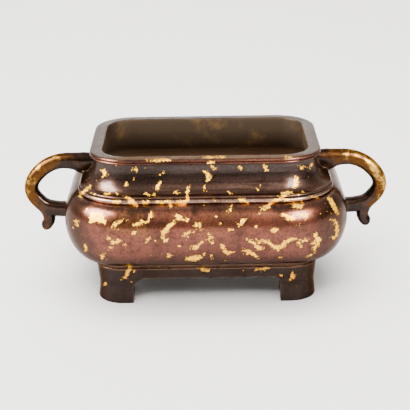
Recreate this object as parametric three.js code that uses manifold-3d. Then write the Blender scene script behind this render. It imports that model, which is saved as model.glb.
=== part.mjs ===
// Bronze incense burner: a rectangular bellied vessel with a flat lip, a looped handle with
// a hanging tail at each end and four bracket feet, all cast in one piece.
// Millimetres, +Z up, origin on the ground under the middle, handles along X.
import * as THREE from 'three';
import { mergeVertices } from 'three/addons/utils/BufferGeometryUtils.js';
import Module from 'manifold-3d';

const wasm = await Module();
wasm.setup();

// Rim in plan. Every level below it is this outline moved out or in.
const rimLength = 108;
const rimDepth = 73;
const rimCornerRadius = 19;

// Heights of the levels, from the ground up.
const footHeight = 12.7;
const apronHeight = 5.3;
const waistHeight = 3.2;
const bellyLowerHeight = 17;
const bellyUpperHeight = 14;
const lowerBeadHeight = 2.4;
const upperBeadHeight = 1.2;
const neckHeight = 12.9;
const lipHeight = 3;

// How far each level stands outside the rim outline, or inside it where negative.
const toeOut = -2;
const ankleOut = -2.7;
const apronOut = -1.9;
const waistOut = -1.2;
const bellyFootOut = 0.8;
const bellyOut = 13;
const bandOut = 4.9;
const neckFootOut = 4.5;
const neckOut = -1.8;

// Plan corners at the foot of the vessel, tighter than the rim's.
const toeCornerRadius = 12.5;
const bellyFootCornerRadius = 14.5;

// How full the belly is above its widest level: 2 is an ellipse, more is squarer.
const bellyFullness = 2.3;

// Small mouldings.
const ledgeProud = 0.5;
const lowerBeadProud = 1.2;
const upperBeadProud = 0.7;
const lipBeadHeight = 0.9;
const lipGroove = 0.45;
const lipEdgeRadius = 0.45;

// Walls of the hollow vessel.
const lipWidth = 5.9;
const wall = 4;
const floorThickness = 4.5;
const floorInset = 12;
const underFloorDrop = 1.2;

// Feet and the openings between them.
const footWidth = 17.2;
const footSideWidth = 17.2;
const bracketLength = 6;
const bracketDrop = 4.7;
const apronThickness = 5.5;

// Handles: reach beyond the rim, height from the tail's tip to the crown of the loop.
const handleReach = 34;
const handleHeight = 38.1;
const handleRise = 8.3;
const handleWidth = 7;
const strapThickness = 6.7;
const strapCrown = 1.6;
const armThickness = 6.7;

// Facets.
const cornerSteps = 9;
const archSteps = 8;
const bellySteps = 12;
const strapSteps = 30;
const armSteps = 8;
const crownSteps = 6;
const cutMargin = 5;

// Levels worked out from the heights.
const ledgeZ = footHeight + apronHeight;
const bellyFootZ = ledgeZ + waistHeight;
const bellyZ = bellyFootZ + bellyLowerHeight;
const bandZ = bellyZ + bellyUpperHeight;
const upperBeadZ = bandZ + lowerBeadHeight;
const neckFootZ = upperBeadZ + upperBeadHeight;
const neckZ = neckFootZ + neckHeight;
const rimZ = neckZ + lipHeight;
const floorZ = ledgeZ - underFloorDrop + floorThickness;

const bronze = new THREE.MeshStandardMaterial({ color: 0x6a3a2c, roughness: 0.42, metalness: 0.8 });

// A stretch of ellipse from one angle to another, in degrees, as [out, z] stations.
function arch(outMiddle, zMiddle, outRadius, zRadius, from, to, steps = archSteps) {
  const curve = new THREE.EllipseCurve(outMiddle, zMiddle, outRadius, zRadius,
    THREE.MathUtils.degToRad(from), THREE.MathUtils.degToRad(to), to < from);
  return curve.getPoints(steps).map((point) => [point.x, point.y]);
}

// The rim outline moved out by a distance, at a height: four corner arcs joined by straights.
function planRing(out, z, cornerRadius = rimCornerRadius + out) {
  const radius = Math.max(cornerRadius, 1);
  const middleX = rimLength / 2 + out - radius;
  const middleY = rimDepth / 2 + out - radius;
  const ring = [];
  for (const [corner, [sideX, sideY]] of [[1, 1], [-1, 1], [-1, -1], [1, -1]].entries()) {
    for (let step = 0; step <= cornerSteps; step += 1) {
      const angle = (corner + step / cornerSteps) * Math.PI / 2;
      ring.push(new THREE.Vector3(
        sideX * middleX + radius * Math.cos(angle),
        sideY * middleY + radius * Math.sin(angle),
        z));
    }
  }
  return ring;
}

// A closed solid through a row of rings that turn anticlockwise seen from the last one.
function skin(rings) {
  const count = rings[0].length;
  const points = rings.flat();
  const triangles = [];
  for (let row = 0; row < rings.length - 1; row += 1) {
    for (let i = 0; i < count; i += 1) {
      const a = row * count + i;
      const b = row * count + (i + 1) % count;
      triangles.push(a, b, b + count, a, b + count, a + count);
    }
  }
  const ends = [[0, true], [rings.length - 1, false]];
  for (const [row, turned] of ends) {
    const middle = new THREE.Vector3();
    rings[row].forEach((point) => middle.addScaledVector(point, 1 / count));
    points.push(middle);
    for (let i = 0; i < count; i += 1) {
      const a = row * count + i;
      const b = row * count + (i + 1) % count;
      triangles.push(points.length - 1, turned ? b : a, turned ? a : b);
    }
  }
  return new wasm.Manifold(new wasm.Mesh({
    numProp: 3,
    vertProperties: Float32Array.from(points.flatMap((point) => point.toArray())),
    triVerts: Uint32Array.from(triangles),
  }));
}

// A three.js geometry as a solid for joining and cutting.
function solidOf(geometry) {
  geometry.deleteAttribute('normal');
  geometry.deleteAttribute('uv');
  const merged = mergeVertices(geometry, 1e-4);
  return new wasm.Manifold(new wasm.Mesh({
    numProp: 3,
    vertProperties: merged.attributes.position.array,
    triVerts: Uint32Array.from(merged.index.array),
  }));
}

// Outside of feet, apron and waist, whose corners keep to the toes' own radius.
function baseStations() {
  const stations = [
    [toeOut, 0],
    [toeOut + 0.4 * (ankleOut - toeOut), footHeight * 0.2],
    [ankleOut, footHeight * 0.6],
    [(ankleOut + apronOut) / 2, footHeight * 0.9],
    [apronOut, footHeight + apronHeight * 0.4],
    [apronOut + ledgeProud * 0.5, ledgeZ - ledgeProud],
    [apronOut + ledgeProud * 1.5, ledgeZ],
    [waistOut, ledgeZ + waistHeight * 0.35],
    [waistOut, bellyFootZ - waistHeight * 0.25],
  ];
  return stations.map(([out, z]) => [out, z, toeCornerRadius + out - toeOut]);
}

// Outside of the belly: a quarter ellipse up to the widest level, whose corners open out with
// it, then a squarer quarter that closes in on the beads.
function bellyStations() {
  const widest = rimCornerRadius + bellyOut;
  const swell = bellyOut - bellyFootOut;
  const lower = arch(bellyFootOut, bellyZ, swell, bellyLowerHeight, -90, 0, bellySteps)
    .map(([out, z]) => [out, z,
      bellyFootCornerRadius + (widest - bellyFootCornerRadius) * (out - bellyFootOut) / swell]);
  const upper = arch(0, 0, 1, 1, 0, 90, bellySteps).map(([across, up]) => [
    bandOut + (bellyOut - bandOut) * across ** (2 / bellyFullness),
    bellyZ + bellyUpperHeight * up ** (2 / bellyFullness)]);
  return [...lower, ...upper.slice(1)];
}

// Two beads between the belly and the neck, the upper one finer.
function beadStations() {
  const lowerHalf = lowerBeadHeight / 2;
  const upperHalf = upperBeadHeight / 2;
  const lower = arch(bandOut, bandZ + lowerHalf, lowerBeadProud, lowerHalf, -90, 90, 6);
  const upper = arch(neckFootOut, upperBeadZ + upperHalf, upperBeadProud, upperHalf, -90, 90, 4);
  return [...lower.slice(1), ...upper];
}

// The neck sweeps in and up as a hollow quarter ellipse.
function neckStations() {
  const sweep = arch(neckFootOut, neckZ, neckFootOut - neckOut, neckHeight, 270, 180, 9);
  return [...sweep.slice(1), [neckOut, neckZ + lipBeadHeight / 2]];
}

// The lip's outer edge: a small rolled bead, a groove over it and a rounded upper edge.
function lipStations() {
  const beadZ = neckZ + lipBeadHeight;
  const sideOut = -lipGroove / 4;
  return [
    [-lipGroove * 1.5, beadZ - lipBeadHeight * 0.4],
    [0, beadZ],
    [0, beadZ + lipBeadHeight * 0.4],
    [-lipGroove, beadZ + lipBeadHeight * 0.8],
    [sideOut, beadZ + lipBeadHeight * 1.2],
    [sideOut, rimZ - lipEdgeRadius],
    [sideOut - lipEdgeRadius, rimZ],
  ];
}

// The outside as one solid block, before it is hollowed.
function outerBlock() {
  const stations = [
    ...baseStations(), ...bellyStations(), ...beadStations(), ...neckStations(), ...lipStations()];
  return skin(stations.map(([out, z, cornerRadius]) => planRing(out, z, cornerRadius)));
}

// The hollow inside: a floor curving up to the belly, and a neck that narrows to the mouth.
function cavity() {
  const belly = bellyOut - wall;
  const band = bandOut + lowerBeadProud / 2 - wall;
  const neckTop = neckZ - wall / 2;
  const lower = arch(-floorInset, bellyZ, belly + floorInset, bellyZ - floorZ, -90, 0, 9);
  const upper = arch(band, bellyZ, belly - band, bandZ - bellyZ, 0, 90, 7);
  const sweep = arch(band, neckTop, band + lipWidth, neckTop - upperBeadZ, 270, 180, 6);
  const stations = [...lower, ...upper.slice(1), ...sweep, [-lipWidth, rimZ + cutMargin]];
  return skin(stations.map(([out, z]) => planRing(out, z)));
}

// An opening between two feet: straight sides, rounded into the apron at the top corners.
function footGap(halfWidth, runLength) {
  const shape = new THREE.Shape();
  shape.moveTo(-halfWidth, -cutMargin);
  shape.lineTo(halfWidth, -cutMargin);
  shape.lineTo(halfWidth, footHeight - bracketDrop);
  shape.absellipse(halfWidth - bracketLength, footHeight - bracketDrop,
    bracketLength, bracketDrop, 0, Math.PI / 2, false);
  shape.lineTo(-halfWidth + bracketLength, footHeight);
  shape.absellipse(-halfWidth + bracketLength, footHeight - bracketDrop,
    bracketLength, bracketDrop, Math.PI / 2, Math.PI, false);
  const geometry = new THREE.ExtrudeGeometry(shape, {
    depth: runLength, bevelEnabled: false, curveSegments: archSteps });
  geometry.translate(0, 0, -runLength / 2);
  geometry.rotateX(Math.PI / 2);
  return geometry;
}

// A block standing under the ground line and reaching up to the underside of the floor.
function recess(halfX, halfY) {
  const top = floorZ - floorThickness;
  const geometry = new THREE.BoxGeometry(2 * halfX, 2 * halfY, top + cutMargin);
  geometry.translate(0, 0, (top - cutMargin) / 2);
  return geometry;
}

// What is taken away below: both runs between the feet, and the hollow behind the apron.
function underCut() {
  const toeX = rimLength / 2 + toeOut;
  const toeY = rimDepth / 2 + toeOut;
  const apronX = rimLength / 2 + apronOut - apronThickness;
  const apronY = rimDepth / 2 + apronOut - apronThickness;
  const gapX = toeX - footWidth;
  const gapY = toeY - footSideWidth;
  const frontGap = footGap(gapX, rimDepth + 2 * cutMargin);
  const sideGap = footGap(gapY, rimLength + 2 * cutMargin);
  sideGap.rotateZ(Math.PI / 2);
  return solidOf(frontGap)
    .add(solidOf(sideGap))
    .add(solidOf(recess(gapX, apronY)))
    .add(solidOf(recess(apronX, gapY)));
}

// A bar along a smooth middle line in the XZ plane, flat on its inner side and crowned outside.
// Each station is [x, z, thickness]; the outer side lies to the left of the line's run.
function bar(stations, steps) {
  const curve = new THREE.CatmullRomCurve3(
    stations.map(([x, z, thickness]) => new THREE.Vector3(x, thickness, z)), false, 'centripetal');
  const line = curve.getSpacedPoints(steps);
  const rings = line.map((point, i) => {
    const before = line[Math.max(i - 1, 0)];
    const after = line[Math.min(i + 1, steps)];
    const run = new THREE.Vector2(after.x - before.x, after.z - before.z).normalize();
    const half = point.y / 2;
    const section = [];
    for (let step = 0; step <= crownSteps; step += 1) {
      const across = 1 - 2 * step / crownSteps;
      const crown = half - Math.min(strapCrown, half) * across * across;
      section.push([across * handleWidth / 2, crown]);
    }
    section.push([-handleWidth / 2, -half], [handleWidth / 2, -half]);
    return section.map(([y, up]) => new THREE.Vector3(
      point.x - run.y * up, y, point.z + run.x * up));
  });
  return skin(rings);
}

// How far out the end face of the lower belly stands at a height.
function bellyFaceX(z) {
  const rise = THREE.MathUtils.clamp((z - bellyZ) / bellyLowerHeight, -0.95, 0);
  return rimLength / 2 + bellyFootOut + (bellyOut - bellyFootOut) * Math.sqrt(1 - rise * rise);
}

// One handle at the +X end: a strap from the neck over the loop to its tail, and the lower arm.
// Stations are shares of the handle's reach, of its height and of the strap's thickness.
function handle() {
  const rootX = rimLength / 2;
  const tailZ = neckFootZ + handleRise - handleHeight;
  const place = ([reach, height, thickness]) => [
    rootX + reach * handleReach, tailZ + height * handleHeight, thickness * strapThickness];
  const strap = [
    [-0.03, 0.9, 1.1], [0.14, 0.881, 1.36], [0.28, 0.902, 1.1], [0.42, 0.907, 1.04], [0.54, 0.889, 1],
    [0.65, 0.849, 1], [0.75, 0.788, 1], [0.86, 0.68, 0.97], [0.908, 0.577, 0.95], [0.903, 0.492, 0.96],
    [0.86, 0.415, 0.99], [0.785, 0.344, 0.97], [0.705, 0.246, 0.93], [0.675, 0.13, 0.86],
    [0.692, 0.07, 0.84], [0.715, 0.032, 0.76], [0.73, 0.008, 0.45],
  ].map(place);
  const faceX = bellyFaceX(place([0, 0.246, 1])[1]);
  const armRoot = (faceX - wall / 2 - rootX) / handleReach;
  const arm = [
    [0.853, 0.407], [0.774, 0.333], [0.697, 0.291], [0.609, 0.267], [0.529, 0.254], [armRoot, 0.246],
  ].map(([reach, height]) => place([reach, height, armThickness / strapThickness]));
  return bar(strap, strapSteps).add(bar(arm, armSteps));
}

// A solid turned into a named mesh.
function meshOf(name, solid, material) {
  const { vertProperties, triVerts } = solid.getMesh();
  const geometry = new THREE.BufferGeometry();
  geometry.setAttribute('position', new THREE.BufferAttribute(Float32Array.from(vertProperties), 3));
  geometry.setIndex(new THREE.BufferAttribute(Uint32Array.from(triVerts), 1));
  geometry.computeVertexNormals();
  const mesh = new THREE.Mesh(geometry, material);
  mesh.name = name;
  return mesh;
}

const rightHandle = handle();
const casting = outerBlock()
  .subtract(underCut())
  .add(rightHandle)
  .add(rightHandle.mirror([1, 0, 0]))
  .subtract(cavity());

const incenseBurner = new THREE.Group();
incenseBurner.name = 'bronze_incense_burner';
incenseBurner.add(meshOf('burner_casting', casting, bronze));

export default incenseBurner;
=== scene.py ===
# Bronze incense burner: one casting with patina, gold splashes and gilt handles, in a pale studio.
import math
import bmesh
import bpy
import numpy as np
from mathutils import Matrix, Vector


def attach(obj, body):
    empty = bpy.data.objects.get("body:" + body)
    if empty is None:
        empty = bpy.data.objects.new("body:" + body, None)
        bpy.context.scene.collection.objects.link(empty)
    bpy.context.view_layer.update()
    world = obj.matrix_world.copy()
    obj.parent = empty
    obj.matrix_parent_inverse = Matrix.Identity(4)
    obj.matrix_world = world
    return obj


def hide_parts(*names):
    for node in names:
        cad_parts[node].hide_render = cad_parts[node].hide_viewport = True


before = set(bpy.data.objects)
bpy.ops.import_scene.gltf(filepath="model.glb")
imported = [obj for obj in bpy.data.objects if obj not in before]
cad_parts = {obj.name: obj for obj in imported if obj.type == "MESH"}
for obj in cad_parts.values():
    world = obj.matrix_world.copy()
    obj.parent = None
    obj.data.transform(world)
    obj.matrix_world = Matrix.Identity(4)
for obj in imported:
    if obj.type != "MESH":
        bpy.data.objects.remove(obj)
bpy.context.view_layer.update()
mm = 0.001

# Levels and offsets of the casting in millimetres.
# An offset is how far a level stands outside the rim outline.
casting = {
    "rimLength": 108, "rimDepth": 73, "rimCorner": 19,
    "footZ": 12.7, "ledgeZ": 18.0, "bellyFootZ": 21.2, "bellyZ": 38.2, "bandZ": 52.2,
    "upperBeadZ": 54.6, "neckFootZ": 55.8, "neckZ": 68.7, "rimZ": 71.7, "floorZ": 21.3, "recessZ": 16.8,
    "toe": -2.0, "ankle": -2.7, "apron": -1.9, "waist": -1.2, "bellyFoot": 0.8, "belly": 13.0,
    "band": 4.9, "neckFoot": 4.5, "neck": -1.8, "lipWidth": 5.9, "lipEdge": 0.9,
    "toeCorner": 12.5, "bellyFootCorner": 14.5, "fullness": 2.3,
    "lowerBead": 1.2, "upperBead": 0.7, "ledge": 0.5,
    "innerBelly": 9.0, "innerBand": 1.5, "innerNeckZ": 66.7, "floorInset": 12.0,
    "floorEdge": -17.5, "footInset": 8, "toeRound": 0.4, "sharpAngle": 42,
    "meshStep": 0.9, "insideStep": 2.6, "lipStep": 1.0, "cornerSteps": 26, "sideSteps": (38, 14),
    # the lip's underside, edge and groove, as offsets and levels
    "lipProfile": [
        (-1.55, 69.05), (-0.9, 69.2), (-0.35, 69.3), (-0.08, 69.45), (0, 69.65), (-0.04, 69.9),
        (-0.2, 70.08), (-0.40, 70.22), (-0.34, 70.42), (-0.16, 70.58)],
}


def arch(outMiddle, zMiddle, outRadius, zRadius, start, end, steps):
    # a stretch of ellipse in the section, angles in degrees
    angles = [math.radians(start + (end - start) * i / steps) for i in range(steps + 1)]
    return [(outMiddle + outRadius * math.cos(a), zMiddle + zRadius * math.sin(a)) for a in angles]


def smoothLine(points, stepsEach):
    # a smooth line through points of any dimension
    line = []
    for i in range(len(points) - 1):
        before, a = points[max(i - 1, 0)], points[i]
        b, after = points[i + 1], points[min(i + 2, len(points) - 1)]
        for step in range(stepsEach):
            t = step / stepsEach
            line.append(tuple(
                0.5 * (2 * p1 + (p2 - p0) * t + (2 * p0 - 5 * p1 + 4 * p2 - p3) * t ** 2
                       + (3 * p1 - p0 - 3 * p2 + p3) * t ** 3)
                for p0, p1, p2, p3 in zip(before, a, b, after)))
    return line + [tuple(points[-1])]


def outerSection(c):
    # from the ground up the outside to the lip's upper edge
    foot = smoothLine([
        (c["toe"] - 0.15, 0.12), (c["toe"], 0.7), (c["toe"] + 0.4 * (c["ankle"] - c["toe"]), 2.6),
        (c["ankle"], 7.6), ((c["ankle"] + c["apron"]) / 2, 11.4), (c["apron"], 14.8),
        (c["apron"] + 0.25, c["ledgeZ"] - 0.5)], 4)
    ledge = arch(c["apron"] + 0.4, c["ledgeZ"] - 0.1, c["ledge"] * 0.7, 0.3, -60, 90, 5)
    waist = smoothLine([
        (c["waist"] - 0.25, c["ledgeZ"] + 0.5), (c["waist"], c["ledgeZ"] + 1.2),
        (c["waist"], c["bellyFootZ"] - 0.8), (c["waist"] + 0.5, c["bellyFootZ"] - 0.3)], 3)
    swell = c["belly"] - c["bellyFoot"]
    lower = arch(c["bellyFoot"], c["bellyZ"], swell, c["bellyZ"] - c["bellyFootZ"], -90, 0, 24)
    upper = [
        (c["band"] + (c["belly"] - c["band"]) * across ** (2 / c["fullness"]),
         c["bellyZ"] + (c["bandZ"] - c["bellyZ"]) * up ** (2 / c["fullness"]))
        for across, up in arch(0, 0, 1, 1, 0, 89.9, 22)]
    half = (c["upperBeadZ"] - c["bandZ"]) / 2
    bead = arch(c["band"], c["bandZ"] + half, c["lowerBead"], half, -84, 84, 10)
    half = (c["neckFootZ"] - c["upperBeadZ"]) / 2
    fineBead = arch(c["neckFoot"], c["upperBeadZ"] + half, c["upperBead"], half, -80, 84, 7)
    neck = arch(c["neckFoot"], c["neckZ"], c["neckFoot"] - c["neck"], c["neckZ"] - c["neckFootZ"],
                270, 180, 20)
    edge = arch(-0.08 - c["lipEdge"], c["rimZ"] - c["lipEdge"], c["lipEdge"], c["lipEdge"], 0, 90, 6)
    belly = lower[1:] + upper[1:]
    return foot + ledge + waist + belly + bead + fineBead + neck[1:] + c["lipProfile"] + edge


def innerSection(c):
    # from the lip's inner edge down the inside to the floor
    edge = arch(-c["lipWidth"] + 0.5, c["rimZ"] - 0.5, -0.5, 0.5, 90, 0, 4)
    wide = c["innerBand"] + c["lipWidth"]
    sweep = arch(c["innerBand"], c["innerNeckZ"], wide, c["innerNeckZ"] - c["upperBeadZ"], 180, 270, 12)
    upper = arch(c["innerBand"], c["bellyZ"], c["innerBelly"] - c["innerBand"],
                 c["bandZ"] - c["bellyZ"], 90, 0, 10)
    lower = arch(-c["floorInset"], c["bellyZ"], c["innerBelly"] + c["floorInset"],
                 c["bellyZ"] - c["floorZ"], 0, -90, 14)
    return edge + sweep + upper[1:] + lower[1:] + [(c["floorEdge"], c["floorZ"])]


def resample(points, longest):
    # long steps are divided so that no step is longer than the mesh needs
    line = [points[0]]
    for a, b in zip(points, points[1:]):
        parts = max(1, math.ceil(math.dist(a, b) / longest))
        line += [tuple(p + (q - p) * i / parts for p, q in zip(a, b)) for i in range(1, parts + 1)]
    return line


outerLine = resample(outerSection(casting), casting["meshStep"])


def outAt(z):
    # how far out the outside stands at a height, in millimetres
    for (outA, zA), (outB, zB) in zip(outerLine, outerLine[1:]):
        if zA <= z <= zB and zB > zA:
            return outA + (outB - outA) * (z - zA) / (zB - zA)
    return outerLine[0][0] if z < outerLine[0][1] else outerLine[-1][0]


def squareCorners(bm, c):
    # below its widest level the belly's plan corners tighten down to the toes' own radius
    middleX = c["rimLength"] / 2 - c["rimCorner"]
    middleY = c["rimDepth"] / 2 - c["rimCorner"]
    for vert in bm.verts:
        x, y, z = vert.co / mm
        overX, overY = abs(x) - middleX, abs(y) - middleY
        if z > c["bellyZ"] or max(overX, overY) <= 0:
            continue
        radius = math.hypot(max(overX, 0), max(overY, 0))
        out = radius - c["rimCorner"]
        if z > c["bellyFootZ"] - 0.5 and out < outAt(z) - 1:
            continue
        if z < c["bellyFootZ"]:
            tight = max(c["toeCorner"] + out - c["toe"], 0.5)
        else:
            share = (out - c["bellyFoot"]) / (c["belly"] - c["bellyFoot"])
            full = c["rimCorner"] + c["belly"]
            tight = c["bellyFootCorner"] + (full - c["bellyFootCorner"]) * share
        shift = radius - min(tight, radius)
        if overX > 0 and overY > 0:
            angle = math.atan2(overY, overX)
            newX = middleX + shift + tight * math.cos(angle)
            newY = middleY + shift + tight * math.sin(angle)
        elif overX > 0:
            newX, newY = abs(x), abs(y) * (middleY + shift) / middleY
        else:
            newX, newY = abs(x) * (middleX + shift) / middleX, abs(y)
        vert.co = Vector((math.copysign(newX, x), math.copysign(newY, y), z)) * mm


def extrudeRun(bm, edges, run, steps):
    # carries an edge loop along in equal steps
    for _ in range(steps):
        made = bmesh.ops.extrude_edge_only(bm, edges=edges)["geom"]
        verts = [g for g in made if isinstance(g, bmesh.types.BMVert)]
        bmesh.ops.translate(bm, verts=verts, vec=run / steps)
        edges = [g for g in made if isinstance(g, bmesh.types.BMEdge)
                 and all(v in verts for v in g.verts)]


def castingBlock(c):
    # the section is spun a quarter turn at one corner, run along both sides, then mirrored twice
    bm = bmesh.new()
    middle = Vector((c["rimLength"] / 2 - c["rimCorner"], c["rimDepth"] / 2 - c["rimCorner"], 0)) * mm
    inner = resample(innerSection(c), c["insideStep"])
    lipTop = resample([outerLine[-1], inner[0]], c["lipStep"])[1:-1]
    section = [(c["toe"] - c["footInset"], 0), (c["toe"] - c["toeRound"], 0)] + outerLine + lipTop + inner
    verts = [bm.verts.new(middle + Vector((c["rimCorner"] + out, 0, z)) * mm) for out, z in section]
    edges = [bm.edges.new(pair) for pair in zip(verts, verts[1:])]
    spun = bmesh.ops.spin(bm, geom=verts + edges, cent=middle, axis=(0, 0, 1), angle=math.pi / 2,
                          steps=c["cornerSteps"], use_duplicate=False)
    last = [g for g in spun["geom_last"] if isinstance(g, bmesh.types.BMEdge)]
    extrudeRun(bm, last, Vector((-middle.x, 0, 0)), c["sideSteps"][0])
    extrudeRun(bm, edges, Vector((0, -middle.y, 0)), c["sideSteps"][1])
    for axis in ("X", "Y"):
        everything = bm.verts[:] + bm.edges[:] + bm.faces[:]
        bmesh.ops.mirror(bm, geom=everything, matrix=Matrix.Identity(4), merge_dist=1e-6, axis=axis)
    bmesh.ops.remove_doubles(bm, verts=bm.verts[:], dist=1e-6)
    squareCorners(bm, c)
    filled = bmesh.ops.holes_fill(bm, edges=[e for e in bm.edges if e.is_boundary], sides=0)
    bmesh.ops.triangulate(bm, faces=filled["faces"])
    bmesh.ops.recalc_face_normals(bm, faces=bm.faces[:])
    return bm


def pieceFrom(bm, name):
    mesh = bpy.data.meshes.new(name)
    bm.to_mesh(mesh)
    bm.free()
    piece = bpy.data.objects.new(name, mesh)
    bpy.context.scene.collection.objects.link(piece)
    return piece


# How far the cutters reach under the ground, in millimetres.
below = 5


def gapCutter(name, halfX, halfY, topZ, radii):
    # a block from under the ground up to a height, its two long top edges rounded for the brackets
    bm = bmesh.new()
    bmesh.ops.create_cube(bm, size=1)
    bmesh.ops.scale(bm, vec=Vector((2 * halfX, 2 * halfY, topZ + below)) * mm, verts=bm.verts[:])
    across = 0 if halfY > halfX else 1
    reach = min(halfX, halfY) * mm
    for side, radius in zip((-1, 1), radii):
        top = [e for e in bm.edges if all(v.co.z > 0 and side * v.co[across] > 0.95 * reach for v in e.verts)]
        bmesh.ops.bevel(bm, geom=top, offset=radius * mm, offset_type="OFFSET", segments=10,
                        profile=0.5, affect="EDGES", material=-1)
    bmesh.ops.translate(bm, vec=Vector((0, 0, (topZ - below) / 2)) * mm, verts=bm.verts[:])
    bmesh.ops.recalc_face_normals(bm, faces=bm.faces[:])
    return pieceFrom(bm, name)


def recessCutter(wideX, wideY, narrowX, narrowY, topZ):
    # the hollow behind the aprons: a cross in plan, leaving the four feet
    plan = [(narrowX, wideY), (narrowX, narrowY), (wideX, narrowY)]
    plan += [(x, -y) for x, y in reversed(plan)]
    plan += [(-x, -y) for x, y in plan]
    bm = bmesh.new()
    bottom = bm.faces.new([bm.verts.new(Vector((x, y, -below)) * mm) for x, y in plan])
    made = bmesh.ops.extrude_face_region(bm, geom=[bottom], use_keep_orig=True)["geom"]
    top = [g for g in made if isinstance(g, bmesh.types.BMVert)]
    bmesh.ops.translate(bm, vec=Vector((0, 0, topZ + below)) * mm, verts=top)
    bmesh.ops.recalc_face_normals(bm, faces=bm.faces[:])
    return pieceFrom(bm, "recess")


# Bracket radii are for the left and right end of a gap, or for its front and back end.
feet = {
    "width": 17.2, "frontBrackets": (6.4, 4.0), "sideBrackets": (5.0, 5.0),
    "apronThickness": 5.5, "behind": 0.3, "throughX": 80, "throughY": 60,
}


def applied(piece):
    # the piece with its modifiers made real
    graph = bpy.context.evaluated_depsgraph_get()
    mesh = bpy.data.meshes.new_from_object(piece.evaluated_get(graph))
    piece.modifiers.clear()
    piece.data = mesh
    return piece


def cutAway(piece, cutters):
    for cutter in cutters:
        cut = piece.modifiers.new("cut", "BOOLEAN")
        cut.object = cutter
        cut.operation = "DIFFERENCE"
        cut.solver = "EXACT"
        applied(piece)
        bpy.data.objects.remove(cutter)


def makeCasting(c, f):
    piece = pieceFrom(castingBlock(c), "burnerCasting")
    gapX = c["rimLength"] / 2 + c["toe"] - f["width"]
    gapY = c["rimDepth"] / 2 + c["toe"] - f["width"]
    apronX = c["rimLength"] / 2 + c["apron"] - f["apronThickness"]
    apronY = c["rimDepth"] / 2 + c["apron"] - f["apronThickness"]
    cutAway(piece, [
        recessCutter(apronX, apronY, gapX + f["behind"], gapY + f["behind"], c["recessZ"]),
        gapCutter("frontGap", gapX, f["throughY"], c["footZ"], f["frontBrackets"]),
        gapCutter("sideGap", f["throughX"], gapY, c["footZ"], f["sideBrackets"])])
    return piece


# Handle stations are shares of its reach, of its height and of the strap's thickness.
handle = {
    "root": 54, "reach": 34, "height": 38.1, "crownZ": 64.1, "width": 7.0, "thickness": 7.2,
    "outerSquare": 2.3, "innerSquare": 3.0,
    "strap": [
        (-0.03, 0.9, 1.1), (0.14, 0.876, 1.46), (0.28, 0.899, 1.16), (0.42, 0.907, 1.04),
        (0.54, 0.889, 1), (0.65, 0.849, 1), (0.75, 0.788, 1), (0.86, 0.68, 0.97),
        (0.908, 0.577, 0.95), (0.903, 0.492, 0.96), (0.86, 0.415, 0.99), (0.785, 0.344, 0.97),
        (0.705, 0.246, 0.92), (0.677, 0.13, 0.83), (0.706, 0.07, 0.80), (0.738, 0.032, 0.72),
        (0.758, 0.008, 0.43)],
    "arm": [
        (0.853, 0.407, 1), (0.774, 0.333, 1), (0.697, 0.291, 1), (0.609, 0.270, 1.04),
        (0.529, 0.258, 1.05), (0.3, 0.250, 1.05)],
    # how much gilding is left at each station, none at 0
    "leftWear": [0, 0.05, 0.35, 0.55, 0.75, 0.9, 1, 1, 0.95, 0.9, 0.8, 0.6, 0.5, 0.45, 0.5, 0.6, 0.6],
    "rightWear": [0.2, 0.55, 0.7, 0.8, 0.95, 1.05, 1.1, 1.1, 1.05, 0.95, 0.8, 0.6, 0.45, 0.35, 0.35,
                  0.35, 0.3],
    "armWear": [0.75, 0.45, 0.25, 0.1, 0.05, 0.05],
    # where gilding can be, the loop's middle, and what facing inwards takes away, which is partly wear and
    # partly painted shade inside the loop
    "giltFromX": 52, "giltHalfWidth": 5, "upWeight": 1.1, "loopReach": 0.42, "loopDrop": 0.45,
    "innerFrom": 0.42, "innerWearAndShade": 0.8, "mostGilt": 1.1,
    "voxel": 0.42, "sectionSteps": 24, "lineSteps": 5, "wearSteps": 4, "passes": 3, "tip": 34.06,
    # where the joint to the vessel is smoothed, in millimetres
    "seam": {"halfWidth": 6, "fromX": 50, "low": 27, "high": 66, "reach": 0.9, "passes": 5},
}


def sweepBar(bm, stations, h):
    # a crowned section carried along the line by extruding its end face from station to station
    base = h["crownZ"] - h["height"]
    place = [Vector((h["root"] + h["reach"] * x, 0, base + h["height"] * z)) for x, z, _ in stations]
    ring = None
    for i, (spot, station) in enumerate(zip(place, stations)):
        run = (place[min(i + 1, len(place) - 1)] - place[max(i - 1, 0)]).normalized()
        outward = Vector((-run.z, 0, run.x))
        half = station[2] * h["thickness"] / 2
        section = []
        for step in range(h["sectionSteps"]):
            turn = 2 * math.pi * step / h["sectionSteps"]
            square = h["outerSquare"] if math.sin(turn) > 0 else h["innerSquare"]
            across = math.copysign(abs(math.cos(turn)) ** (2 / square), math.cos(turn))
            section.append((across * h["width"] / 2,
                            math.copysign(half * abs(math.sin(turn)) ** (2 / square), math.sin(turn))))
        points = [(spot + outward * up + Vector((0, y, 0))) * mm for y, up in section]
        if ring is None:
            ring = bm.faces.new([bm.verts.new(p) for p in points])
            continue
        made = bmesh.ops.extrude_face_region(bm, geom=[ring], use_keep_orig=(i == 1))["geom"]
        ring = next(g for g in made if isinstance(g, bmesh.types.BMFace))
        for vert, p in zip(ring.verts, points):
            vert.co = p


def soften(bm, verts, passes):
    for _ in range(passes):
        bmesh.ops.smooth_vert(bm, verts=verts, factor=0.5, use_axis_x=True, use_axis_y=True,
                              use_axis_z=True)


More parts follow.
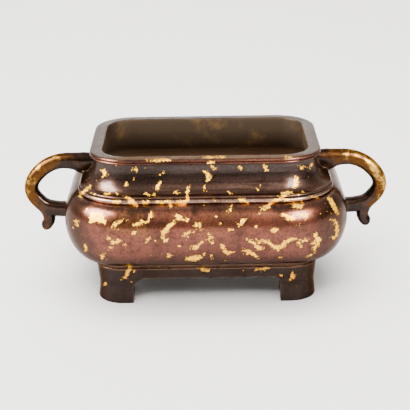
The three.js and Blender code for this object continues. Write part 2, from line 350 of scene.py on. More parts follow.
def makeHandle(side, h):
    bm = bmesh.new()
    for line in ("strap", "arm"):
        sweepBar(bm, smoothLine(h[line], h["lineSteps"]), h)
    bmesh.ops.recalc_face_normals(bm, faces=bm.faces[:])
    if side < 0:
        bmesh.ops.scale(bm, vec=(-1, 1, 1), verts=bm.verts[:])
        bmesh.ops.reverse_faces(bm, faces=bm.faces[:])
    piece = pieceFrom(bm, "rightHandle" if side > 0 else "leftHandle")
    fuse = piece.modifiers.new("fuse", "REMESH")
    fuse.mode = "VOXEL"
    fuse.voxel_size = h["voxel"] * mm
    fuse.use_smooth_shade = True
    applied(piece)
    bm = bmesh.new()
    bm.from_mesh(piece.data)
    soften(bm, bm.verts[:], h["passes"])
    root, tip = h["root"] * mm, (h["root"] + h["tip"]) * mm
    longest = max(abs(v.co.x) for v in bm.verts)
    for vert in bm.verts:
        vert.co.x = side * (root + (abs(vert.co.x) - root) * (tip - root) / (longest - root))
    bmesh.ops.recalc_face_normals(bm, faces=bm.faces[:])
    bm.to_mesh(piece.data)
    bm.free()
    return piece


def joinHandles(piece, handles, seam):
    # the handles are cast in one with the vessel
    for bar in handles:
        join = piece.modifiers.new("join", "BOOLEAN")
        join.object = bar
        join.operation = "UNION"
        join.solver = "EXACT"
        applied(piece)
        bpy.data.objects.remove(bar)
    bm = bmesh.new()
    bm.from_mesh(piece.data)
    near = [v for v in bm.verts if abs(v.co.y) < seam["halfWidth"] * mm and abs(v.co.x) > seam["fromX"] * mm
            and seam["low"] < v.co.z / mm < seam["high"]
            and abs(outside(v.co) - outAt(v.co.z / mm)) < seam["reach"]]
    soften(bm, near, seam["passes"])
    bmesh.ops.recalc_face_normals(bm, faces=bm.faces[:])
    bm.to_mesh(piece.data)
    bm.free()


def outside(spot):
    # how far a point stands outside the rim outline, in millimetres
    c = casting
    overX = abs(spot.x) / mm - c["rimLength"] / 2 + c["rimCorner"]
    overY = abs(spot.y) / mm - c["rimDepth"] / 2 + c["rimCorner"]
    return math.hypot(max(overX, 0), max(overY, 0)) + min(max(overX, overY), 0) - c["rimCorner"]


camera = {
    "target": (0, 0, 0.035), "elevation": 20.07, "yaw": -0.11, "roll": -0.82,
    "distance": 0.6105, "lens": 109.31, "shiftX": -0.0020, "shiftY": 0.0072,
    "sensor": 36, "clip": (0.01, 20),
}


def makeCamera(c):
    data = bpy.data.cameras.new("studioCamera")
    eye = bpy.data.objects.new("studioCamera", data)
    bpy.context.scene.collection.objects.link(eye)
    yaw, lift = math.radians(c["yaw"]), math.radians(c["elevation"])
    back = Vector((math.sin(yaw) * math.cos(lift), -math.cos(yaw) * math.cos(lift), math.sin(lift)))
    turn = (-back).to_track_quat("-Z", "Y").to_matrix() @ Matrix.Rotation(math.radians(c["roll"]), 3, "Z")
    eye.location = Vector(c["target"]) + back * c["distance"]
    eye.rotation_euler = turn.to_euler()
    data.lens, data.sensor_width = c["lens"], c["sensor"]
    data.shift_x, data.shift_y = c["shiftX"], c["shiftY"]
    data.clip_start, data.clip_end = c["clip"]
    bpy.context.scene.camera = eye
    return Matrix.Translation(eye.location) @ turn.to_4x4()


# Gold splashes on the front, as strokes of (across, down, half width) in the picture's own
# units of one 410th of its width. Their ragged edges come from the material.
splashes = {
    "lip": [
        [(147, 160, 1.0), (153, 160.5, 1.2), (158, 160, 1.3), (164, 160, 1.0), (170, 160, 0.8)],
        [(203, 157, 0.8), (212, 157.5, 1.0), (220, 157, 0.8), (226, 158, 0.6)],
        [(208, 163, 0.9), (213, 161.5, 1.0)], [(286, 157, 0.7), (292, 158, 0.8)]],
    "neck": [
        [(103, 170, 1.5), (105, 173, 2.3), (103, 176, 1.0)],
        [(132, 169, 1.1), (137, 171, 1.1), (135, 167, 0.7)],
        [(163, 172, 0.9), (160, 175, 0.8)], [(161, 180, 0.9), (159, 184, 1.1), (157, 188, 1.9)],
        [(126, 183, 0.8), (126, 186, 1.3)],
        [(188, 186, 1.3), (188, 190, 1.7), (187, 194, 1.5), (187, 197, 1.6)],
        [(174, 193, 1.0), (178, 193, 1.0)],
        [(90, 186, 1.0), (86, 190, 1.9), (82, 193, 2.1), (80, 197, 1.0)],
        [(94, 194, 1.0)], [(105, 194, 0.8), (110, 193, 0.8)], [(117, 194, 0.9)],
        [(145, 193, 1.1), (149, 195, 1.6)], [(154, 195, 1.6)],
        [(214, 169, 1.6), (211, 165, 0.9)],
        [(205, 171, 1.4), (208, 175, 2.6), (209, 178, 2.0), (207, 181, 1.1)],
        [(204, 187, 0.9), (205, 190, 1.2)],
        [(239, 167, 0.9), (241, 168, 1.6)], [(264, 166, 1.7), (267, 170, 1.6)],
        [(302, 168, 1.4), (305, 167, 1.1)], [(298, 166, 0.8)], [(310, 168, 0.9), (312, 164, 0.9)],
        [(297, 178, 1.6), (295, 180, 2.0), (296, 184, 2.2), (294, 187, 1.5)],
        [(228, 192, 0.7), (232, 194, 0.9)], [(258, 189, 1.2)], [(297, 195, 0.9), (302, 192, 0.8)],
        [(311, 197, 0.8), (318, 197, 1.0)]],
    "beads": [
        [(113, 202, 1.6), (118, 202, 2.4)],
        [(126, 197, 1.3), (130, 201, 3.1), (135, 204, 2.5)],
        [(142, 202, 1.3), (146, 203, 1.9), (149, 201, 1.2)],
        [(157, 202, 1.2), (163, 203, 1.2), (168, 201, 1.9), (171, 207, 1.2)],
        [(172, 203, 1.3), (178, 203, 1.9), (184, 203, 2.3), (187, 199, 2.0)],
        [(214, 200, 1.2)], [(239, 199, 1.1), (243, 201, 2.1), (248, 202, 1.2)],
        [(262, 208, 1.5), (266, 208, 2.6), (270, 205, 1.8), (273, 201, 2.1), (278, 200, 1.5),
         (283, 196, 2.6), (288, 193, 2.3), (292, 193, 1.3)],
        [(283, 199, 1.6), (288, 200, 1.4)],
        [(291, 203, 1.1), (294, 206, 1.9), (298, 206, 2.9), (302, 207, 1.5), (301, 201, 1.4)],
        [(228, 211, 1.0), (231, 210, 1.4), (232, 206, 0.9)]],
    "belly": [
        [(90, 222, 1.7), (93, 218, 3.6), (98, 219, 3.6), (103, 221, 2.9), (105, 224, 1.1)],
        [(91, 214, 1.8), (98, 214, 2.0), (103, 217, 2.0)],
        [(85, 212, 0.7), (87, 209, 0.7)], [(75, 221, 1.1), (77, 225, 1.1)], [(79, 221, 0.7)],
        [(113, 227, 2.0), (115, 224, 1.9), (120, 222, 1.5), (123, 220, 1.1)], [(117, 229, 1.3)],
        [(127, 221, 1.0), (131, 221, 0.8)],
        [(134, 225, 1.4), (139, 224, 1.4), (142, 221, 1.7), (144, 223, 1.0)],
        [(152, 212, 1.2), (151, 216, 1.7), (149, 219, 1.8), (148, 222, 1.0)], [(134, 233, 1.9)],
        [(174, 215, 0.9), (180, 217, 2.0), (184, 220, 1.2), (188, 220, 0.9)],
        [(178, 218, 1.5), (174, 222, 1.5), (170, 226, 2.3), (166, 230, 2.9), (163, 234, 2.1),
         (163, 238, 1.8), (165, 241, 2.0), (168, 240, 1.1)],
        [(148, 240, 0.9), (151, 237, 1.0)], [(147, 242, 0.9)], [(156, 241, 1.2)],
        [(106, 237, 1.0), (110, 241, 1.7), (115, 243, 1.9), (120, 240, 1.3), (124, 244, 0.9),
         (127, 246, 0.8)],
        [(107, 249, 0.9), (112, 248, 1.0)],
        [(100, 254, 1.2), (103, 257, 1.9), (105, 260, 0.8)], [(103, 257, 1.2), (104, 253, 1.0)],
        [(83, 236, 0.9)], [(84, 245, 0.9), (86, 249, 1.0), (88, 252, 0.8)],
        [(195, 226, 1.9), (199, 224, 2.1), (202, 229, 1.4)], [(196, 229, 1.2)], [(203, 206, 0.9)],
        [(183, 235, 1.5), (188, 233, 2.1), (192, 232, 1.3)], [(187, 238, 0.8)], [(180, 246, 1.2)],
        [(191, 247, 1.1), (196, 248, 2.0), (200, 244, 1.5), (203, 242, 0.9)],
        [(168, 256, 1.6), (172, 256, 0.9)],
        [(187, 259, 2.0), (192, 258, 2.9), (197, 258, 2.7), (201, 257, 1.2)],
        [(204, 253, 0.9)], [(211, 255, 1.2), (212, 258, 0.9)],
        [(239, 224, 1.8), (243, 221, 2.1), (246, 219, 1.2)], [(256, 227, 1.0)],
        [(299, 225, 1.0), (302, 227, 0.9)], [(216, 217, 0.8)], [(220, 223, 0.8)], [(260, 214, 0.8)],
        [(281, 214, 1.2), (285, 215, 2.3), (289, 218, 2.6), (294, 218, 1.8)],
        [(298, 214, 1.0), (305, 216, 1.9), (309, 213, 1.5)], [(306, 219, 0.9)],
        [(229, 230, 0.9), (232, 229, 1.4)], [(272, 230, 1.2), (275, 231, 2.0), (278, 229, 1.3)],
        [(209, 234, 1.5), (211, 237, 1.9), (208, 240, 1.2), (213, 243, 0.9)],
        [(221, 245, 1.0), (223, 247, 2.3), (225, 251, 2.0), (229, 253, 1.2), (233, 252, 0.9)],
        [(247, 239, 1.3), (250, 242, 1.3), (255, 244, 1.8), (258, 248, 2.5), (262, 248, 1.7)],
        [(256, 240, 0.9), (260, 242, 1.8), (264, 241, 1.7), (268, 243, 1.7), (273, 246, 1.9),
         (278, 248, 3.0), (282, 245, 1.9), (286, 242, 1.7), (290, 240, 1.9), (295, 239, 1.7)],
        [(286, 247, 1.0)], [(299, 243, 1.8), (300, 247, 2.1)],
        [(300, 242, 1.5), (304, 241, 1.5), (308, 239, 1.1)],
        [(244, 250, 1.5), (248, 252, 2.6), (252, 253, 2.0), (255, 256, 1.6), (258, 258, 0.9)],
        [(316, 234, 2.1), (318, 240, 3.2), (317, 245, 2.3), (314, 248, 1.6), (315, 252, 1.2)],
        [(312, 243, 1.0)], [(311, 255, 0.8), (306, 257, 0.9)], [(281, 257, 0.7)], [(326, 212, 0.8)],
        [(329, 198, 1.5), (332, 203, 2.3), (335, 208, 2.3), (337, 214, 1.6)],
        [(331, 220, 1.2), (336, 222, 1.3), (337, 228, 1.7), (337, 234, 1.7), (333, 238, 1.2)]],
    "base": [
        [(199, 269, 1.1), (205, 270, 1.6), (209, 271, 1.1)],
        [(122, 279, 1.2), (126, 276, 1.9), (128, 271, 2.6), (131, 269, 2.2), (129, 265, 1.0)],
        [(134, 271, 0.9)], [(105, 284, 1.6)], [(132, 282, 0.8)],
        [(256, 269, 1.3), (262, 270, 1.0), (268, 268, 1.1)],
        [(292, 272, 1.3), (293, 277, 2.1), (290, 280, 1.0)], [(281, 276, 1.1)]],
    # "far" is the depth away from every stroke, "hidden" where the picture doesn't reach
    "pictureWidth": 410, "unit": 0.47, "slimness": 0.9, "far": -9.0, "hidden": -4.0,
}

# Splashes where the picture doesn't reach, scattered from a seed, with none by the handles' roots.
# Sizes are in millimetres, strides and strays in blot sizes.
scatter = {
    "seed": 11, "count": 150, "small": 0.4, "large": 3.6, "skew": 3, "blots": (1, 5),
    "shrink": (0.5, 1), "stride": (0.9, 1.9), "stray": 0.6, "rootX": 49, "rootY": 12,
}


def pictureSpots(coords, eye, c):
    # where points fall in the picture, in its own units
    toEye = np.array(eye.inverted())
    local = coords @ toEye[:3, :3].T + toEye[:3, 3]
    scale = c["lens"] / c["sensor"]
    across = local[:, 0] / -local[:, 2] * scale - c["shiftX"] + 0.5
    up = local[:, 1] / -local[:, 2] * scale - c["shiftY"] + 0.5
    return np.stack([across, 1 - up], axis=1) * splashes["pictureWidth"]


def strokeField(spots, stroke):
    # how deep inside a stroke each spot lies, negative outside
    best = np.full(len(spots), splashes["far"])
    for (x0, y0, r0), (x1, y1, r1) in zip(stroke, stroke[1:] or stroke):
        run = np.array([x1 - x0, y1 - y0])
        rel = spots - np.array([x0, y0])
        t = np.clip(rel @ run / max(run @ run, 1e-9), 0, 1)
        gap = np.linalg.norm(rel - t[:, None] * run, axis=1)
        best = np.maximum(best, r0 + (r1 - r0) * t - gap)
    return best


def scatteredField(coords, normals, field, allowed, s):
    # clusters of one to four blots each, laid along a random run on the surface
    rng = np.random.default_rng(s["seed"])
    places = np.flatnonzero(allowed)
    for _ in range(s["count"]):
        home = rng.choice(places)
        run = np.cross(normals[home], rng.normal(size=3))
        run /= np.linalg.norm(run)
        size = s["small"] + (s["large"] - s["small"]) * rng.random() ** s["skew"]
        spot = coords[home] / mm
        for _ in range(rng.integers(*s["blots"])):
            gap = np.linalg.norm(coords / mm - spot, axis=1)
            field[:] = np.where(allowed, np.maximum(field, size * rng.uniform(*s["shrink"]) - gap), field)
            spot = spot + run * size * rng.uniform(*s["stride"]) + rng.normal(size=3) * s["stray"] * size
    return field


def handleShare(coords, normals, h):
    # how much gilding is left along the handles: most round the loop's outside, least on faces turned into
    # the loop, which is partly wear and partly painted shade
    share = np.stack([(np.abs(coords[:, 0]) / mm - h["root"]) / h["reach"],
                      (coords[:, 2] / mm - h["crownZ"] + h["height"]) / h["height"]], axis=1)
    near = np.zeros(len(coords))
    for side, wear in ((-1, "leftWear"), (1, "rightWear")):
        strap = smoothLine([(x, z, left) for (x, z, _), left in zip(h["strap"], h[wear])], h["wearSteps"])
        arm = smoothLine([(x, z, left) for (x, z, _), left in zip(h["arm"], h["armWear"])], h["wearSteps"])
        line = np.array(strap + arm)
        reached = ((side * coords[:, 0] > h["giltFromX"] * mm)
                   & (np.abs(coords[:, 1]) < h["giltHalfWidth"] * mm))
        for i in np.flatnonzero(reached):
            away = np.hypot(line[:, 0] - share[i, 0], (line[:, 1] - share[i, 1]) * h["upWeight"])
            near[i] = line[np.argmin(away), 2]
    middle = np.array([h["root"] + h["loopReach"] * h["reach"], 0,
                       h["crownZ"] - h["loopDrop"] * h["height"]]) * mm
    outwards = np.abs(coords) * (1, 0, 1) + coords * (0, 1, 0) - middle
    outwards /= np.maximum(np.linalg.norm(outwards, axis=1), 1e-9)[:, None]
    facing = normals.copy()
    facing[:, 0] *= np.sign(coords[:, 0])
    inner = np.clip(h["innerFrom"] - (outwards * facing).sum(axis=1), 0, 1)
    return np.clip(near - h["innerWearAndShade"] * inner, 0, h["mostGilt"])


# Where each kind of surface lies: millimetres from the outer face, and levels.
zones = {
    "handleHalfWidth": 5, "handleFromX": 50, "handleZ": (25.5, 67), "handleFrom": 0.3, "handleFade": 1.2,
    "insideDepth": 1.6, "insideZ": (20.5, 71.4), "underDepth": 0.6, "underZ": 20.5,
    "pictureY": 4, "scatterZ": (6, 71),
}


def between(values, span):
    return (values > span[0]) & (values < span[1])


def paint(piece, eye, where):
    # writes where the splashes, the gilding, the handles, the inside and the underside are
    mesh = piece.data
    count = len(mesh.vertices)
    coords = np.empty(count * 3)
    normals = np.empty(count * 3)
    mesh.vertices.foreach_get("co", coords)
    mesh.vertices.foreach_get("normal", normals)
    coords, normals = coords.reshape(-1, 3), normals.reshape(-1, 3)
    out = np.array([outside(Vector(co)) for co in coords])
    skin = np.array([outAt(z / mm) for z in coords[:, 2]])
    height = coords[:, 2] / mm
    bars = ((np.abs(coords[:, 1]) < where["handleHalfWidth"] * mm)
            & (np.abs(coords[:, 0]) > where["handleFromX"] * mm) & between(height, where["handleZ"]))
    onHandle = np.where(bars, np.clip((out - skin - where["handleFrom"]) / where["handleFade"], 0, 1), 0)
    inside = (out < skin - where["insideDepth"]) & between(height, where["insideZ"])
    # the underside, which the material paints near black as painted shade
    under = (out < skin - where["underDepth"]) & (height < where["underZ"])
    toEye = np.array(eye.translation) - coords
    facing = (toEye * normals).sum(axis=1) > 0
    seen = facing & (coords[:, 1] < where["pictureY"] * mm) & ~inside & ~under
    spots = pictureSpots(coords, eye, camera)
    best = np.full(count, splashes["far"])
    for zone in ("lip", "neck", "beads", "belly", "base"):
        for stroke in splashes[zone]:
            slim = [(x, y, splashes["slimness"] * r) for x, y, r in stroke]
            best = np.maximum(best, strokeField(spots, slim))
    splash = np.where(seen, best * splashes["unit"], splashes["hidden"])
    byHandle = (np.abs(coords[:, 0]) > scatter["rootX"] * mm) & (np.abs(coords[:, 1]) < scatter["rootY"] * mm)
    unseen = ~seen & ~inside & ~under & ~byHandle & between(height, where["scatterZ"])
    splash = scatteredField(coords, normals, splash, unseen, scatter)
    edge = np.zeros(count)
    for line in mesh.edges:
        if line.use_edge_sharp:
            edge[list(line.vertices)] = 1
    layers = {"edge": edge, "splash": splash, "onHandle": onHandle, "inside": inside, "under": under,
              "gilt": handleShare(coords, normals, handle) * onHandle}
    for name, values in layers.items():
        layer = mesh.attributes.new(name, "FLOAT", "POINT")
        layer.data.foreach_set("value", values.astype(np.float32))


def nodeAdder(tree):
    # adds a node, setting its options and filling its inputs from values or other outputs
    def add(kind, inputs=None, **options):
        node = tree.nodes.new(kind)
        for key, value in options.items():
            setattr(node, key, value)
        for key, value in (inputs or {}).items():
            if isinstance(value, bpy.types.NodeSocket):
                tree.links.new(value, node.inputs[key])
            else:
                node.inputs[key].default_value = value
        return node
    return add


def fillRamp(ramp, stops):
    # a new ramp has two stops already
    made = ramp.color_ramp.elements
    for i, (spot, color) in enumerate(stops):
        stop = made[i] if i < 2 else made.new(spot)
        stop.position = spot
        stop.color = (*color, 1)


bronze = {
    # colour of the skin at heights in millimetres, in linear light. The pale stops at 17.8 and 18.2 mm are a
    # painted highlight on the ledge, those from 52.2 to 53.8 mm a painted highlight on the bead's crest
    # together with its worn bare metal, and the near-black stop at 69.0 mm is painted shade under the lip
    "tones": [
        (0, (0.023, 0.016, 0.0145)), (11, (0.026, 0.018, 0.016)), (17.0, (0.025, 0.017, 0.0145)),
        (17.8, (0.11, 0.055, 0.034)), (18.2, (0.11, 0.055, 0.034)), (18.7, (0.066, 0.036, 0.024)),
        (20.8, (0.078, 0.042, 0.028)), (22.5, (0.046, 0.020, 0.014)), (26, (0.067, 0.024, 0.017)),
        (31, (0.120, 0.037, 0.024)), (38, (0.142, 0.043, 0.028)), (44, (0.176, 0.051, 0.028)),
        (49, (0.205, 0.066, 0.034)), (51.0, (0.120, 0.041, 0.022)), (52.2, (0.30, 0.135, 0.082)),
        (52.8, (0.34, 0.19, 0.125)), (53.8, (0.40, 0.235, 0.165)), (54.5, (0.14, 0.070, 0.046)),
        (55.2, (0.14, 0.068, 0.043)), (56.0, (0.080, 0.034, 0.020)), (58, (0.088, 0.046, 0.031)),
        (62, (0.052, 0.029, 0.023)), (65, (0.046, 0.031, 0.026)), (68, (0.037, 0.025, 0.022)),
        (69.0, (0.022, 0.009, 0.006)), (69.5, (0.17, 0.055, 0.031)), (69.9, (0.14, 0.045, 0.025)),
        (70.3, (0.06, 0.020, 0.012)), (70.8, (0.15, 0.050, 0.028)), (71.35, (0.14, 0.052, 0.030)),
        (71.60, (0.13, 0.062, 0.040)), (71.7, (0.080, 0.060, 0.050))],
    # the tones' levels wander a little round the middle, in metres
    "top": 71.7, "wander": 0.0016, "wanderZ": 0.034, "wanderFade": (0.020, 0.010),
    # tints of what is mirrored at a grazing angle
    "grazing": (0.56, 0.48, 0.44, 1), "lipGrazing": (0.82, 0.78, 0.76, 1),
    "frontLipGrazing": (0.66, 0.53, 0.45, 1), "handleGrazing": (0.24, 0.17, 0.13, 1),
    "armGrazing": (0.50, 0.45, 0.41, 1), "giltGrazing": (0.62, 0.40, 0.17, 1),
    "goldGrazing": (1.0, 0.68, 0.20, 1),
    "dark": (0.016, 0.009, 0.006, 1), "warm": (0.20, 0.085, 0.022, 1),
    "gold": (0.88, 0.43, 0.006, 1), "paleGold": (0.96, 0.56, 0.035, 1), "oldGold": (0.46, 0.18, 0.018, 1),
    "gilding": (0.52, 0.29, 0.050, 1), "deepGilding": (0.066, 0.026, 0.006, 1),
    "handleBrown": (0.032, 0.015, 0.008, 1), "handleDark": (0.011, 0.006, 0.004, 1),
    "inside": (0.058, 0.036, 0.020, 1), "paintedLightInside": (0.34, 0.235, 0.155, 1),
    "insideOchre": (0.15, 0.086, 0.030, 1), "bare": (0.34, 0.19, 0.105, 1),
    "raggedness": 4.3, "metal": 0.95, "dullMetal": -0.6, "specular": 0.3, "wax": 0.20, "waxRoughness": 0.12,
    "roughness": 0.29, "roughSpread": 0.16, "splashRoughness": 0.27, "dullRoughness": 0.30,
    "giltRoughness": 0.05, "bumpStrength": 0.22, "bumpDistance": 0.00022, "streakRelief": 0.35,
    # levels in metres between which an effect comes in, and those between which it goes out
    "bands": {
        "warm": ((0.034, 0.044), (0.0535, 0.050)), "stain": ((0.0425, 0.0505), (0.0535, 0.0515)),
        "paintedLightInside": ((0.029, 0.036), (0.057, 0.048)), "wax": ((0.019, 0.025), (0.0716, 0.0710)),
    },
    # places in metres between which an effect comes in
    "fades": {
        # side brings in the painted shade on the vessel's two ends
        "neck": (0.0555, 0.058), "side": (0.046, 0.062), "lowGold": (0.021, 0.017),
        "arm": (0.0425, 0.0395), "frontLip": (-0.0290, -0.0325), "lip": (0.0714, 0.07164),
    },
}


def bronzeMaterial(b):
    material = bpy.data.materials.new("splashedBronze")
    material.use_nodes = True
    tree = material.node_tree
    shader = tree.nodes["Principled BSDF"]
    add = nodeAdder(tree)

    def noise(scale, detail, roughness=0.55, stretch=None, shift=0.0):
        vector = place
        if stretch or shift:
            vector = add("ShaderNodeMapping", {"Vector": place, "Scale": stretch or (1, 1, 1),
                                               "Location": (shift, shift, shift)}).outputs[0]
        return add("ShaderNodeTexNoise", {"Vector": vector, "Scale": scale, "Detail": detail,
                                          "Roughness": roughness}).outputs["Fac"]

    def calc(operation, first, second=0.0, third=0.0):
        return add("ShaderNodeMath", {0: first, 1: second, 2: third}, operation=operation).outputs[0]

    def step(value, low, high):
        return add("ShaderNodeMapRange", {"Value": value, "From Min": low, "From Max": high},
                   interpolation_type="SMOOTHSTEP").outputs[0]

    def blend(share, first, second):
        return add("ShaderNodeMix", {"Factor": share, 6: first, 7: second}, data_type="RGBA").outputs[2]

    def band(name):
        rise, fall = b["bands"][name]
        return calc("MULTIPLY", step(height, *rise), step(height, *fall))

    def layer(name):
        return add("ShaderNodeAttribute", attribute_name=name).outputs["Fac"]

    place = add("ShaderNodeTexCoord").outputs["Object"]
    axes = add("ShaderNodeSeparateXYZ", {0: place})
    across, depth, height = (axes.outputs[name] for name in "XYZ")
    fades = b["fades"]
    drift = calc("MULTIPLY_ADD", noise(90, 3), b["wander"], -b["wander"] / 2)
    ramp = add("ShaderNodeValToRGB")
    ramp.color_ramp.interpolation = "LINEAR"
    fillRamp(ramp, [(z / b["top"], tone) for z, tone in b["tones"]])
    fromMiddle = calc("ABSOLUTE", calc("SUBTRACT", height, b["wanderZ"]))
    small = calc("MULTIPLY", drift, step(fromMiddle, *b["wanderFade"]))
    tree.links.new(calc("DIVIDE", calc("ADD", height, small), b["top"] * mm), ramp.inputs[0])

    cloud = noise(55, 3)
    mottle = noise(240, 6, 0.65)
    grain = noise(1000, 3, 0.6, shift=0.55)
    streak = noise(1.0, 4, 0.6, stretch=(26, 26, 620))
    color = blend(calc("MULTIPLY", step(cloud, 0.42, 0.68), 0.55), ramp.outputs[0], b["dark"])
    warmth = calc("MULTIPLY", step(noise(42, 3, shift=0.3), 0.50, 0.72), band("warm"))
    color = blend(calc("MULTIPLY", warmth, 0.5), color, b["warm"])
    stain = calc("MULTIPLY", step(noise(95, 5, 0.65, stretch=(1, 1, 0.6), shift=0.15), 0.47, 0.60),
                 band("stain"))
    color = blend(calc("MULTIPLY", stain, 0.75), color, b["dark"])
    neck = step(height, *fades["neck"])
    streakShare = calc("MULTIPLY_ADD", neck, 0.60, 0.18)
    color = blend(calc("MULTIPLY", step(streak, 0.46, 0.66), streakShare), color, b["dark"])
    color = blend(calc("MULTIPLY", step(mottle, 0.48, 0.64), 0.40), color, b["dark"])
    color = blend(calc("MULTIPLY", step(grain, 0.50, 0.62), 0.42), color, b["dark"])
    # painted shade: the vessel's two ends, from 46 to 62 mm out from the middle, are darkened towards near
    # black
    side = step(calc("ABSOLUTE", across), *fades["side"])
    color = blend(calc("MULTIPLY", side, 0.80), color, b["dark"])
    edge = calc("MULTIPLY", layer("edge"), step(mottle, 0.40, 0.58))
    color = blend(calc("MULTIPLY", edge, 0.25), color, b["bare"])
    rough = calc("MULTIPLY_ADD", mottle, b["roughSpread"], b["roughness"] - b["roughSpread"] / 2)

    onHandle, inside, under = layer("onHandle"), layer("inside"), layer("under")
    dull = calc("MAXIMUM", inside, under)
    handleTone = blend(step(noise(150, 5, 0.6, shift=0.7), 0.40, 0.64), b["handleBrown"], b["handleDark"])
    color = blend(onHandle, color, handleTone)
    worn = calc("MULTIPLY_ADD", noise(260, 6, 0.76, shift=0.4), 1.9, -0.95)
    gilded = step(calc("ADD", layer("gilt"), worn), 0.30, 0.72)
    # the gilding is paler where more is left, so the crown and the loop's outer faces get a painted sheen as
    # well as polish
    polishAndSheen = calc("ADD", layer("gilt"), calc("MULTIPLY_ADD", noise(230, 6, 0.74, shift=0.9), 3.4, -1.7))
    gilding = blend(step(polishAndSheen, 0.85, 1.40), b["deepGilding"], b["gilding"])
    rubbed = step(noise(430, 5, 0.7, shift=0.25), 0.48, 0.64)
    color = blend(calc("MULTIPLY", gilded, calc("MULTIPLY_ADD", rubbed, -0.55, 1.0)), color, gilding)

    insideTone = blend(step(noise(75, 6, 0.68, shift=0.2), 0.50, 0.72), b["inside"], b["insideOchre"])
    insideTone = blend(calc("MULTIPLY", step(noise(330, 5, 0.6), 0.45, 0.65), 0.5), insideTone, b["inside"])
    # painted light: the inside walls are lightened from about 30 to 57 mm, most from 36 to 48 mm, where they
    # lie in shade
    insideTone = blend(band("paintedLightInside"), insideTone, b["paintedLightInside"])
    color = blend(inside, color, insideTone)
    # painted shade: the underside is painted near black
    color = blend(under, color, b["dark"])

    ragged = calc("MULTIPLY_ADD", noise(1500, 4, 0.7, shift=0.8), 0.75, noise(720, 5, 0.62, shift=0.1))
    ragged = calc("MULTIPLY_ADD", ragged, b["raggedness"], -0.875 * b["raggedness"] - 0.1)
    splash = step(calc("ADD", layer("splash"), ragged), 0.0, 0.05)
    crumbs = calc("MULTIPLY", step(noise(780, 2, 0.5, shift=0.6), 0.735, 0.75), step(cloud, 0.50, 0.56))
    outsideShare = calc("SUBTRACT", 1.0, calc("MAXIMUM", dull, onHandle))
    crumbs = calc("MULTIPLY", crumbs, outsideShare)
    splash = calc("MAXIMUM", splash, crumbs)
    pinholes = step(noise(1250, 3, 0.55, shift=0.35), 0.62, 0.66)
    splash = calc("MULTIPLY", splash, calc("MULTIPLY_ADD", pinholes, -0.85, 1.0))
    gold = blend(step(noise(400, 4, 0.6, shift=0.5), 0.36, 0.62), b["paleGold"], b["gold"])
    gold = blend(calc("MULTIPLY", step(noise(900, 4, 0.6), 0.55, 0.75), 0.7), gold, b["oldGold"])
    gold = blend(calc("MULTIPLY", step(height, *fades["lowGold"]), 0.55), gold, b["oldGold"])
    color = blend(splash, color, gold)

    rough = calc("MULTIPLY_ADD", splash, b["splashRoughness"], rough)
    rough = calc("MULTIPLY_ADD", dull, b["dullRoughness"], rough)
    rough = calc("MULTIPLY_ADD", gilded, b["giltRoughness"], rough)
    metal = calc("MULTIPLY_ADD", dull, b["dullMetal"], b["metal"])
    relief = calc("MULTIPLY_ADD", streak, b["streakRelief"], mottle)
    bump = add("ShaderNodeBump", {"Height": relief, "Strength": b["bumpStrength"],
                                  "Distance": b["bumpDistance"]})
    tree.links.new(color, shader.inputs["Base Color"])
    tree.links.new(rough, shader.inputs["Roughness"])
    tree.links.new(metal, shader.inputs["Metallic"])
    tree.links.new(bump.outputs[0], shader.inputs["Normal"])
    shader.inputs["Specular IOR Level"].default_value = b["specular"]
    handleTint = blend(step(height, *fades["arm"]), b["handleGrazing"], b["armGrazing"])
    tint = blend(onHandle, b["grazing"], blend(gilded, handleTint, b["giltGrazing"]))
    # painted shade: the underside's reflections are darkened too
    tint = blend(under, tint, b["dark"])
    tint = blend(splash, tint, b["goldGrazing"])
    lipTint = blend(step(depth, *fades["frontLip"]), b["lipGrazing"], b["frontLipGrazing"])
    tint = blend(step(height, *fades["lip"]), tint, lipTint)
    tree.links.new(tint, shader.inputs["Specular Tint"])
    unwaxed = calc("MAXIMUM", calc("MAXIMUM", gilded, splash), inside)
    wax = calc("MULTIPLY", band("wax"), calc("MULTIPLY_ADD", unwaxed, -b["wax"], b["wax"]))
    tree.links.new(wax, shader.inputs["Coat Weight"])
    shader.inputs["Coat Roughness"].default_value = b["waxRoughness"]
    return material


studio = {
    "floorTone": (0.90, 0.89, 0.875), "floorRoughness": 0.75, "halfWidth": 4.5, "front": -3.0,
    "back": 0.75, "sweep": 0.45, "wall": 1.7, "aimZ": 0.03, "aimBack": 0.2,
    # area lights: place, size, power, colour, and whether they show as reflections or light the scene
    "lights": {
        "leftBox": ((-0.82, -0.26, 0.68), (0.60, 0.72), 88.0, (1.0, 0.98, 0.96), "reflected"),
        "rightBox": ((0.50, -0.68, 0.56), (0.40, 0.50), 42.0, (1.0, 0.98, 0.96), "reflected"),
        "topFill": ((-0.30, -0.35, 1.5), (1.9, 1.7), 58.0, (1.0, 0.99, 0.97), "lighting"),
        "frontFill": ((-0.30, -1.20, 1.30), (0.8, 0.6), 30.0, (1.0, 0.99, 0.98), "lighting"),
        "backFill": ((0.0, 0.35, 1.1), (0.9, 0.9), 14.0, (1.0, 0.99, 0.98), "lighting"),
    },
    # how bright the room is at sines of the height above the horizon
    "room": [(0.0, 0.10), (0.10, 0.12), (0.45, 0.60), (0.8, 1.1), (1.0, 1.1)], "roomTint": (1.0, 0.96, 0.93),
}


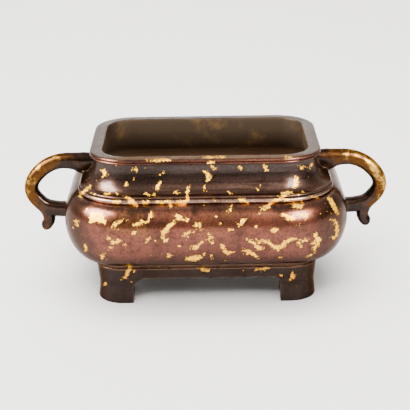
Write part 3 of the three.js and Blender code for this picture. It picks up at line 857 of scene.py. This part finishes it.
def makeStudio(s):
    bm = bmesh.new()
    spots = [(s["front"], 0), (s["back"], 0)]
    for turn in [math.radians(angle) for angle in range(6, 91, 6)]:
        spots.append((s["back"] + s["sweep"] * math.sin(turn), s["sweep"] * (1 - math.cos(turn))))
    spots.append((s["back"] + s["sweep"], s["wall"]))
    verts = [bm.verts.new((-s["halfWidth"], y, z)) for y, z in spots]
    edges = [bm.edges.new(pair) for pair in zip(verts, verts[1:])]
    made = bmesh.ops.extrude_edge_only(bm, edges=edges)["geom"]
    far = [g for g in made if isinstance(g, bmesh.types.BMVert)]
    bmesh.ops.translate(bm, verts=far, vec=(2 * s["halfWidth"], 0, 0))
    for face in bm.faces:
        face.smooth = True
    sweep = pieceFrom(bm, "studioSweep")
    paper = bpy.data.materials.new("palePaper")
    paper.use_nodes = True
    shader = paper.node_tree.nodes["Principled BSDF"]
    shader.inputs["Base Color"].default_value = (*s["floorTone"], 1)
    shader.inputs["Roughness"].default_value = s["floorRoughness"]
    sweep.data.materials.append(paper)
    for name, (spot, size, power, color, use) in s["lights"].items():
        data = bpy.data.lights.new(name, "AREA")
        data.shape = "RECTANGLE"
        data.size, data.size_y = size
        data.energy, data.color = power, color
        lamp = bpy.data.objects.new(name, data)
        bpy.context.scene.collection.objects.link(lamp)
        lamp.location = spot
        ground = Vector((spot[0], spot[1] + s["aimBack"], 0))
        aim = Vector((0, 0, s["aimZ"])) if use == "reflected" else ground
        lamp.rotation_euler = (aim - Vector(spot)).to_track_quat("-Z", "Y").to_euler()
        lamp.visible_glossy = use == "reflected"
        lamp.visible_diffuse = use == "lighting"
    world = bpy.context.scene.world or bpy.data.worlds.new("studio")
    bpy.context.scene.world = world
    world.use_nodes = True
    add = nodeAdder(world.node_tree)
    heading = add("ShaderNodeSeparateXYZ", {0: add("ShaderNodeTexCoord").outputs["Generated"]})
    ramp = add("ShaderNodeValToRGB", {0: heading.outputs["Z"]})
    fillRamp(ramp, [(sine, [level * tint for tint in s["roomTint"]]) for sine, level in s["room"]])
    world.node_tree.links.new(ramp.outputs[0], world.node_tree.nodes["Background"].inputs["Color"])


eye = makeCamera(camera)
makeStudio(studio)
print("studio ready")
burner = makeCasting(casting, feet)
print("vessel ready", len(burner.data.polygons))
joinHandles(burner, [makeHandle(side, handle) for side in (-1, 1)], handle["seam"])
print("handles joined", len(burner.data.polygons))
burner.name = "bronzeBurner"
for polygon in burner.data.polygons:
    polygon.use_smooth = True
burner.data.set_sharp_from_angle(angle=math.radians(casting["sharpAngle"]))
paint(burner, eye, zones)
burner.data.materials.clear()
burner.data.materials.append(bronzeMaterial(bronze))
print("painted")
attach(burner, "root")
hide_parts("burner_casting")
